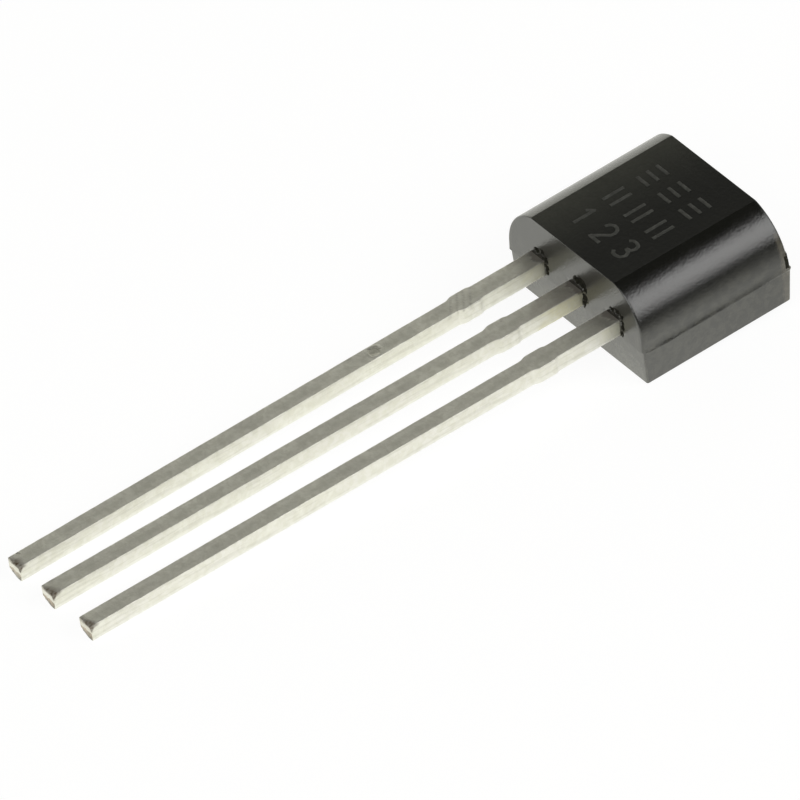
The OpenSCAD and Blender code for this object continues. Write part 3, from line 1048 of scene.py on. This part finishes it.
def square_stack(name, centre, layers, corner, steps, material, wobble=0.0, seed=0.0):
    """A solid from squares with rounded corners, each layer given as (half width, height)."""
    rings = []
    for half, height in layers:
        ring = []
        for quarter in range(4):
            middle = math.pi / 4 + quarter * math.pi / 2
            for step in range(steps + 1):
                turn = math.pi / 2 * (quarter + step / steps)
                x = math.copysign(half - corner, math.cos(middle)) + corner * math.cos(turn)
                y = math.copysign(half - corner, math.sin(middle)) + corner * math.sin(turn)
                shift = 1 + wobble * ragged_at(x * 5 + seed, y * 5, seed)
                ring.append((centre[0] + x * shift, centre[1] + y * shift, height))
        rings.append(ring)
    return stack_rings(name, rings, material)


# %% Solder with its fillet
die_side = 0.8
die_thickness = 0.2
solder_thickness = 0.03
solder_margin = 0.06
die_bottom = frame_top + solder_thickness
die_top = die_bottom + die_thickness
die_centre = (paddle_x + paddle_width / 2, paddle_y + paddle_length / 2)
fillet = [(1.0, 0.0), (0.99, 0.006), (0.95, 0.014), (0.90, 0.022), (0.865, solder_thickness)]
layers = [((die_side / 2 + solder_margin) * share, frame_top + height) for share, height in fillet]
solder = square_stack("solder_layer", die_centre, layers, 0.08, 6, dull_solder, 0.012, 4.0)
print(f"solder: {count(solder)}")

# %% Silicon chip with two bond pads
bond_inset = 0.16
bond_spacing = 0.3
pad_half = 0.075
pad_height = 0.004
bond_x = die_centre[0] + die_side / 2 - bond_inset
bond_y = die_centre[1] - die_side / 2 + bond_inset
bonds = {"base": (bond_x, bond_y), "emitter": (bond_x, bond_y + bond_spacing)}
chipped = [(0.004, 0.0), (0.0, 0.004), (0.0, die_thickness - 0.006)]
chipped += [(0.003, die_thickness - 0.002), (0.008, die_thickness)]
layers = [(die_side / 2 - inset, die_bottom + height) for inset, height in chipped]
chip = square_stack("silicon_chip", die_centre, layers, 0.01, 3, polished_silicon, 0.003, 9.0)
for bond in bonds.values():
    layers = [(pad_half, die_top - 0.01), (pad_half, die_top + pad_height * 0.6)]
    layers += [(pad_half - 0.002, die_top + pad_height)]
    pad = square_stack("pad", bond, layers, 0.015, 3, aluminium_pad)
    combine(chip, [pad], "UNION")
    bpy.data.objects.remove(pad)
print(f"chip: {count(chip)}, finishes {[material.name for material in chip.data.materials]}")

# %% Geometry Nodes tree for a bond wire
wire_diameter = 0.04
ball_thickness = 0.04
neck_height = 0.12
bend_radius = 0.15
wedge_length = 0.14
wedge_thickness = 0.02
given, made = start_geometry("bond_wire", {
    "Route": GEOMETRY, "Wire Diameter": wire_diameter, "Bend Radius": bend_radius, "Ball Diameter": 0.1,
    "Ball Thickness": ball_thickness, "Ball Place": VECTOR, "Wedge Place": VECTOR, "Wedge Heading": 0.0,
    "Wedge Length": wedge_length, "Wedge Thickness": wedge_thickness, "Finish": MATERIAL,
})
wire_tree = tree


def squashed_ball(place, size, rotation=(0, 0, 0)):
    """A ball that is pressed flat, at its place."""
    ball = signal("GeometryNodeMeshUVSphere", {"Segments": 20, "Rings": 12, "Radius": 0.5}, "Mesh")
    inputs = {"Geometry": ball, "Translation": place, "Rotation": rotation, "Scale": size}
    return signal("GeometryNodeTransform", inputs)


path = signal("GeometryNodeMeshToCurve", {"Mesh": given["Route"]})
bent = signal("GeometryNodeFilletCurve", {"Curve": path, "Radius": given["Bend Radius"]})
wire_radius = given["Wire Diameter"] * 0.5
section = signal("GeometryNodeCurvePrimitiveCircle", {"Resolution": 12, "Radius": wire_radius})
round_wire = signal("GeometryNodeCurveToMesh", {"Curve": bent, "Profile Curve": section, "Fill Caps": True})
ball_size = vector_of(given["Ball Diameter"], given["Ball Diameter"], given["Ball Thickness"])
wedge_size = vector_of(given["Wedge Length"], given["Wire Diameter"] * 2, given["Wedge Thickness"])
joined = add_node("GeometryNodeMeshBoolean", operation="UNION", solver="EXACT")
fill(joined, {"Mesh 2": round_wire})
fill(joined, {"Mesh 2": squashed_ball(given["Ball Place"], ball_size)})
fill(joined, {"Mesh 2": squashed_ball(given["Wedge Place"], wedge_size, vector_of(z=given["Wedge Heading"]))})
end_geometry(made, Signal(joined.outputs[0]), given["Finish"])

# %% Make the two wires
wedges = {
    "base": (lead_x["base"], base_post_depth - base_head_length / 2),
    "emitter": (emitter_head_x + wedge_length, paddle_y + emitter_head_length / 2),
}


def bond_wire(name):
    """A wire from its bond on the chip to its post, along a route of three points that the tree bends."""
    ball_x, ball_y = bonds[name]
    wedge_x, wedge_y = wedges[name]
    reach = math.hypot(wedge_x - ball_x, wedge_y - ball_y)
    neck_top = ball_thickness + neck_height
    end_height = frame_top - die_top + wire_diameter / 2
    drop = neck_top - end_height
    apart = math.hypot(reach - bend_radius, drop)
    fall = math.atan2(drop, reach - bend_radius) + math.asin(bend_radius / apart)
    corner_height = neck_top + bend_radius * math.tan((math.pi / 2 + fall) / 2)
    points = [
        (ball_x, ball_y, die_top + ball_thickness / 2),
        (ball_x, ball_y, die_top + corner_height),
        (wedge_x, wedge_y, die_top + end_height),
    ]
    route = bpy.data.meshes.new(f"{name}_route")
    route.from_pydata(points, [(0, 1), (1, 2)], [])
    wire = from_nodes(f"gold_{name}_wire", wire_tree, route, {
        "Ball Place": (ball_x, ball_y, die_top + pad_height + ball_thickness / 2),
        "Wedge Place": (wedge_x, wedge_y, frame_top + wedge_thickness / 2),
        "Wedge Heading": math.atan2(wedge_y - ball_y, wedge_x - ball_x),
        "Finish": drawn_gold,
    })
    print(f"{wire.name}: {count(wire)}, {1000 * reach:.0f} micrometres from bond to post")
    return wire


wires = {name: bond_wire(name) for name in bonds}

# %% [markdown]
# ## The moulded case
#
# The case is one solid of resin. Below the parting line its walls lean in towards the back. Above it they
# stand straight and then roll over into two round shoulders, and both ends lean in from the parting line. It
# could be cut from a block, but here it is a stack of outlines, one for each height, so that every height can
# have its own width, length and rounding. The stack also allows small marks: the flared lip of resin where
# the mould halves met, a small burr at one corner, shallow rough pockets round the leads, and the scar of the
# gate where the resin flowed in.

# %% Sizes of the case
body_width = 4.52
body_thickness = 2.28
marked_width = 2.8
shoulder_radius = 1.2
side_draft = 0.038
back_end_inset = 0.06
back_end_step = 0.02
back_end_bulge = 0.048
back_far_draft = 0.067
marked_end_draft = 0.065
back_rounding = 0.04
face_rounding = 0.016
side_x = body_width / 2
shoulder_width = side_x - marked_width / 2
shoulder_rise = math.sqrt(2 * shoulder_radius * shoulder_width - shoulder_width * shoulder_width)
shoulder_middle_x = side_x - shoulder_radius
shoulder_middle_z = body_thickness - shoulder_rise
shoulder_end = math.asin(shoulder_rise / shoulder_radius)
print(f"the shoulder meets the marked face at {90 - math.degrees(shoulder_end):.1f} degrees")


# %% Where the walls stand at a height
def half_width_at(height):
    """Half the case's width at a height."""
    if height < parting_height:
        return side_x - side_draft * (parting_height - height) / parting_height
    if height < shoulder_middle_z:
        return side_x
    rise = min(height - shoulder_middle_z, shoulder_rise)
    return shoulder_middle_x + math.sqrt(shoulder_radius**2 - rise**2)


def end_walls_at(height):
    """Where the near and the far end wall stand. The back half of the mould sat a little out of line."""
    if height < parting_height:
        lean = back_far_draft * (parting_height - height) / parting_height
        step = back_end_step * (1 - (parting_height - height) / parting_height)
        return back_end_inset - step, body_height + back_end_bulge - lean
    lean = marked_end_draft * (height - parting_height) / (body_thickness - parting_height)
    return lean, body_height - lean


def edge_inset(height):
    """How far the rounded edges at the back and at the marked face draw the walls in."""
    back = max(back_rounding - height, 0)
    face = max(height - (body_thickness - face_rounding), 0)
    face_inset = face_rounding - math.sqrt(max(face_rounding**2 - face**2, 0))
    return back_rounding - math.sqrt(back_rounding**2 - back**2), face_inset


# %% Heights of the outlines: close together round the leads and the parting line
SEAM_PROFILE = [
    (-0.085, 0.0), (-0.070, -0.0120), (-0.056, -0.0310), (-0.046, -0.0370),
    (-0.034, -0.0340), (-0.018, -0.0275), (0.000, -0.0205), (0.024, -0.0130),
    (0.050, -0.0070), (0.080, -0.0030), (0.112, -0.0008), (0.145, 0.0),
]
FINE_STEP = 0.018
SHOULDER_STEP = 0.024
LEAST_STEP = 0.0004
seam_rises, seam_depths = zip(*SEAM_PROFILE)
seam_heights = [parting_height + rise for rise in seam_rises]
levels = [back_rounding * (1 - math.cos(math.radians(turn))) for turn in (0, 20, 40, 60, 75, 90)]
levels += [back_rounding + 0.006, *np.linspace(0.09, 0.76, 12)]
levels += [*np.arange(0.78, seam_heights[0] - 0.005, FINE_STEP), *seam_heights]
levels += [*np.arange(seam_heights[-1] + FINE_STEP, 1.68, FINE_STEP)]
levels += [*np.arange(1.70, shoulder_middle_z, SHOULDER_STEP)]
shoulder_turns = np.linspace(0, shoulder_end, 44)
shoulder_levels = [shoulder_middle_z + shoulder_radius * math.sin(turn) for turn in shoulder_turns]
levels += [level for level in shoulder_levels if not 1.10 < level < 1.68] + [shoulder_middle_z]
levels += [body_thickness - face_rounding * (1 - math.sin(math.radians(turn))) for turn in (0, 30, 55, 75)]
levels = sorted(levels)
levels = [level for level, before in zip(levels, [-1] + levels) if level - before > LEAST_STEP]
print(f"{len(levels)} outlines from {levels[0]:.3f} to {levels[-1]:.3f} mm")

# %% The parting line and the chips along it
seam_chips = [(0.24, -0.01, 0.09), (0.86, -0.02, 0.07)]
CHIP_DEPTH = 0.012


def seam_depth(x, y, height):
    """How deep the walls are at the parting line. They flare out to a lip with small broken spots."""
    ragged = ragged_at(x * 1.3, y * 1.3, 5.0) + 0.5 * ragged_at(x * 6, y * 6, 9.0)
    crisp = min(max(0.95 + 0.4 * ragged, 0.3), 1.15)
    crisp *= 0.15 if y < 0.09 else 0.6 + 0.4 * smooth_step(0.3, 0.8, y)
    crisp *= 1.1 - 0.25 * smooth_step(1.9, 2.4, y) - 0.5 * smooth_step(3.0, 3.5, y)
    depth = np.interp(height - parting_height, seam_rises, seam_depths) * crisp
    if x > 0:
        for along, rise, radius in seam_chips:
            away = math.hypot(y - along, 1.3 * (height - parting_height - rise)) * (1 + 0.5 * ragged)
            depth += CHIP_DEPTH * smooth_step(radius, 0.0, away)
    return depth


# %% A lump of resin at the far right edge
BURR_PLACE = Vector((body_width / 2, body_height, 1.13))
BURR_FROM = Vector((1.9, 3.4))


def corner_burr(point):
    """How far the lump stands out at a place."""
    if point.x <= BURR_FROM.x or point.y <= BURR_FROM.y:
        return 0.0
    ragged = noise.noise(point * 9) + 0.5 * noise.noise(point * 24)
    apart = point - BURR_PLACE
    away = math.hypot(apart.x, apart.y, 0.6 * apart.z) * (1 + 0.3 * ragged)
    return (0.024 + 0.012 * ragged) * smooth_step(0.17, 0.08, away)


# %% Torn pits in the lead end wall, above and beside each lead
EXIT_REACH = 0.46
PIT_DEPTH = 0.055
MOAT_DEPTH = 0.008
torn_pits = {
    "collector": [
        (0.02, 0.57, 0.08), (0.19, 0.61, 0.07), (0.29, 0.47, 0.10), (0.31, 0.31, 0.09), (0.31, 0.17, 0.06),
    ],
    "base": [
        (0.09, 0.61, 0.10), (0.24, 0.61, 0.13), (0.33, 0.50, 0.08), (0.30, 0.27, 0.12), (0.30, 0.12, 0.08),
    ],
    "emitter": [
        (-0.01, 0.56, 0.07), (0.17, 0.60, 0.08), (0.30, 0.55, 0.08), (0.33, 0.42, 0.06),
        (0.33, 0.27, 0.08), (0.31, 0.10, 0.07), (0.17, 0.04, 0.07),
    ],
}


def pocket_depth(x, z):
    """How deep the lead end wall is sunk: a faint moat round each lead, and torn pits beside it."""
    depth = 0.0
    for name, pits in torn_pits.items():
        place = Vector((x - lead_x[name], z - parting_height))
        if abs(place.x) > EXIT_REACH or not -0.25 < place.y < 0.78:
            continue
        seed = 10 * lead_x[name]
        ragged = ragged_at(x * 9 + seed, z * 9, seed) + 0.7 * ragged_at(x * 26, z * 26, seed)
        away_x = max(abs(place.x) - root_width / 2, 0)
        away_z = max(abs(place.y - lead_thickness / 2) - lead_thickness / 2, 0)
        moat = smooth_step(0.07 + 0.03 * ragged, 0.02, math.hypot(away_x, away_z))
        depth = max(depth, MOAT_DEPTH * moat)
        for pit_x, pit_z, radius in pits:
            share = math.hypot(place.x - pit_x, place.y - pit_z) / radius
            sunk = smooth_step(1.25 + 0.6 * ragged, 0.1, share)
            depth = max(depth, PIT_DEPTH * (1 + 0.4 * ragged) * sunk)
    return depth


# %% The broken gate on the far end wall
GATE = Vector((1.55, 0.92))
GATE_WIDTH = 0.32
GATE_HEIGHT = 0.085


def gate_scar(x, z):
    """How far the broken gate stands out of the far end wall."""
    aside = (x - GATE.x) / GATE_WIDTH
    above = (z - GATE.y) / GATE_HEIGHT
    if abs(aside) > 1.2 or abs(above) > 1.3:
        return 0.0
    ragged = ragged_at(x * 14, z * 30, 3.0)
    inside = smooth_step(1.12, 0.9, abs(aside) + 0.12 * ragged)
    inside *= smooth_step(1.2, 0.85, abs(above) + 0.1 * ragged)
    return inside * (0.012 + 0.014 * ragged)


# %% How the outline's four runs are divided
FAR_STEPS = 70
SIDE_STEPS = 76
EXIT_STEP = 0.0175
WALL_STEPS = 6
CORNER_RADIUS = 0.045


def between(first, last):
    """A few places strictly between two places."""
    return [*np.linspace(first, last, WALL_STEPS, endpoint=False)[1:]]


def end_shares():
    """Places along the lead end wall, as shares of its straight run: close together round the leads."""
    run = body_width - 2 * CORNER_RADIUS
    edges = [-run / 2]
    for middle in lead_x.values():
        first = middle - EXIT_REACH
        edges += between(edges[-1], first) + [*np.arange(first, middle + EXIT_REACH, EXIT_STEP)]
    edges += between(edges[-1], run / 2)
    return [x / run + 0.5 for x in edges[1:]]


def even_shares(steps):
    return [step / steps for step in range(1, steps)]


RUN_SHARES = [end_shares(), even_shares(SIDE_STEPS), even_shares(FAR_STEPS), even_shares(SIDE_STEPS)]
LEAD_END = 0
FAR_END = 2

# %% Draw one outline of the case
CORNER_STEPS = 6


def smooth_runs(height):
    """The outline's runs at a height, each with its corner, as (x, y, and the way out in x and y)."""
    back_inset, face_inset = edge_inset(height)
    near, far = end_walls_at(height)
    near += back_inset + face_inset
    far -= back_inset + face_inset
    radius = CORNER_RADIUS
    right = half_width_at(height) - back_inset - radius
    corners = [(right, near + radius, -90), (right, far - radius, 0)]
    corners += [(-right, far - radius, 90), (-right, near + radius, 180)]
    for index, (centre_x, centre_y, start) in enumerate(corners):
        before_x, before_y, _ = corners[index - 1]
        out_x, out_y = math.cos(math.radians(start)), math.sin(math.radians(start))
        first_x, first_y = before_x + radius * out_x, before_y + radius * out_y
        last_x, last_y = centre_x + radius * out_x, centre_y + radius * out_y
        for share in RUN_SHARES[index]:
            x, y = first_x + (last_x - first_x) * share, first_y + (last_y - first_y) * share
            yield index, x, y, out_x, out_y
        for step in range(CORNER_STEPS + 1):
            turn = math.radians(start + 90 * step / CORNER_STEPS)
            x, y = math.cos(turn), math.sin(turn)
            yield index, centre_x + radius * x, centre_y + radius * y, x, y


# %% Mark the outline
SEAM_REACH = 0.15
EXIT_FOOT = 0.6
EXIT_TOP = 1.8
GATE_REACH = 0.12


def sunk_at(run, x, y, height):
    """How deep the marks sink the wall at a place. What stands out counts below zero."""
    sunk = seam_depth(x, y, height) if abs(height - parting_height) < SEAM_REACH else 0.0
    if run == LEAD_END and EXIT_FOOT < height < EXIT_TOP:
        sunk = max(sunk, pocket_depth(x, height))
    if run == FAR_END and abs(height - GATE.y) < GATE_REACH:
        sunk -= gate_scar(x, height)
    return sunk - corner_burr(Vector((x, y, height)))


def case_outline(height):
    """The case's outline at a height, anticlockwise from the near left corner, with its marks."""
    outline = []
    for run, x, y, out_x, out_y in smooth_runs(height):
        sunk = sunk_at(run, x, y, height)
        outline.append((x - out_x * sunk, y - out_y * sunk, height))
    return outline


# %% Stack the outlines, and cut out what the resin flowed round
body = stack_rings("epoxy_case", [case_outline(level) for level in levels], glossy_epoxy)
body.data.materials.append(matt_epoxy)
body.data.materials.append(torn_epoxy)
print(f"case: {count(body)}")
combine(body, [*leads.values(), solder, chip, *wires.values()], "DIFFERENCE")
print(f"case with its hollow: {count(body)}")

# %% Give the marked face, the torn places and all other faces their finishes
GLOSSY, MATT, TORN = 0, 1, 2
TORN_FROM = 0.0115
BURR_TORN_FROM = 0.013
HAIR = 0.0005
for polygon in body.data.polygons:
    place = polygon.center
    on_top = place.z > body_thickness - HAIR and polygon.normal.z > 0.99
    sunk = place.y - end_walls_at(place.z)[0]
    torn_from = max(TORN_FROM * (1 + noise.noise(place * 33)), MOAT_DEPTH + HAIR)
    in_pit = torn_from < sunk < PIT_DEPTH * 1.8 and pocket_depth(place.x, place.z) > torn_from
    is_torn = in_pit or corner_burr(place) > BURR_TORN_FROM
    polygon.material_index = MATT if on_top else TORN if is_torn else GLOSSY
print(f"marked face: {sum(polygon.material_index == MATT for polygon in body.data.polygons)} faces")

# %% Shade each piece smoothly, and keep edges that are sharper than an angle crisp
edge_angles = [(body, 14), (solder, 30), (chip, 30)] + [(lead, 50) for lead in leads.values()]
for drawn, angle in edge_angles:
    drawn.data.shade_smooth()
    drawn.data.set_sharp_from_angle(angle=math.radians(angle))
for polygon in body.data.polygons:
    polygon.use_smooth = abs(polygon.normal.z) < 0.9999

# %% [markdown]
# ## Marking
#
# A laser writes on the marked face with faint grey strokes, in three short rows. Here they are generic: the
# leads' own numbers, 1 to 3, beside the leads, and two rows of plain bars. Painted on as a colour they would
# be flat. A laser stroke stands up a few micrometres, with ragged edges. A Geometry Nodes tree runs a flat
# lens-shaped section along each stroke and makes its edges ragged.

# %% Geometry Nodes tree for the laser strokes
given, made = start_geometry("laser_strokes", {
    "Strokes": GEOMETRY, "Stroke Width": 0.085, "Stroke Height": 0.012, "Step": 0.02, "Raggedness": 0.022,
    "Seed": 0.0, "Finish": MATERIAL,
})
mark_tree = tree
strokes = signal("GeometryNodeMeshToCurve", {"Mesh": given["Strokes"]})
even = signal("GeometryNodeResampleCurve", {"Curve": strokes, "Length": given["Step"]}, mode="LENGTH")
lens = signal("GeometryNodeCurvePrimitiveCircle", {"Resolution": 10, "Radius": 0.5})
lens_size = vector_of(given["Stroke Width"], given["Stroke Height"], 1.0)
flat_lens = signal("GeometryNodeTransform", {"Geometry": lens, "Scale": lens_size})
run = signal("GeometryNodeCurveToMesh", {"Curve": even, "Profile Curve": flat_lens, "Fill Caps": True})
shift = ragged_shift(signal("GeometryNodeInputPosition"), 14.0, given["Seed"], (1, 1, 0), given["Raggedness"])
end_geometry(made, signal("GeometryNodeSetPosition", {"Geometry": run, "Offset": shift}), given["Finish"])

# %% Draw the strokes
figure_height = 0.56
figure_width = 0.32
turns = [math.radians(turn) for turn in range(0, 181, 20)]
figures = [
    [[(0.15, 0.75), (0.55, 1.0), (0.55, 0.0)]],
    [
        [(0.5 - 0.5 * math.cos(turn), 0.72 + 0.28 * math.sin(turn)) for turn in turns]
        + [(0.96, 0.58), (0.0, 0.0), (1.0, 0.0)]
    ],
    [
        [(0.02, 0.86), (0.2, 0.98), (0.5, 1.0), (0.85, 0.93), (0.95, 0.75), (0.82, 0.57), (0.45, 0.52)],
        [(0.45, 0.52), (0.85, 0.46), (1.0, 0.26), (0.85, 0.07), (0.5, 0.0), (0.2, 0.02), (0.0, 0.15)],
    ],
]
columns = (-0.68, 0.04, 0.74)
figure_foot = 0.62
long_bar_ends = (1.50, 2.06)
short_bar_rows = (2.46, 2.72, 2.98)
paths = []
for figure, middle in zip(figures, columns):
    left = middle - figure_width / 2
    for line in figure:
        paths.append([(left + x * figure_width, figure_foot + y * figure_height) for x, y in line])
for middle in columns:
    paths += [[(middle + aside, y) for y in long_bar_ends] for aside in (-0.13, 0.13)]
for middle in columns:
    paths += [[(middle + aside, y) for aside in (-0.2, 0.2)] for y in short_bar_rows]

# %% Run the tree along the strokes
stroke_level = body_thickness + HAIR
stroke_mesh = bpy.data.meshes.new("strokes")
vertices, edges = [], []
for path in paths:
    start = len(vertices)
    vertices += [(x, y, stroke_level) for x, y in path]
    edges += [(start + step, start + step + 1) for step in range(len(path) - 1)]
stroke_mesh.from_pydata(vertices, edges, [])
marking = from_nodes("laser_marking", mark_tree, stroke_mesh, {"Seed": 2.0, "Finish": laser_grey})
print(f"marking: {len(paths)} strokes, {count(marking)}")

# %% [markdown]
# ## Lay the pieces down
#
# Each finished mesh is turned, moved and scaled to metres by its points, and its object stays at the origin.
# Then it is attached to the body it moves with, and the solid that it replaces is hidden.

# %% Hide the solids that they replace, and ride on the body
dressed = [
    (body, "moulded_body", "epoxy"),
    (leads["collector"], "collector_lead", "tinned_lead"),
    (leads["base"], "base_lead", "tinned_lead"),
    (leads["emitter"], "emitter_lead", "tinned_lead"),
    (solder, "die_solder", "solder"),
    (chip, "silicon_die", "silicon"),
    (wires["base"], "base_wire", "gold_wire"),
    (wires["emitter"], "emitter_wire", "gold_wire"),
    (marking, None, "epoxy"),
]
for piece, node, finish_slot in dressed:
    piece.data.transform(lay_down)
    piece.data.update()
    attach(piece, "root")
    if node:
        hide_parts(node)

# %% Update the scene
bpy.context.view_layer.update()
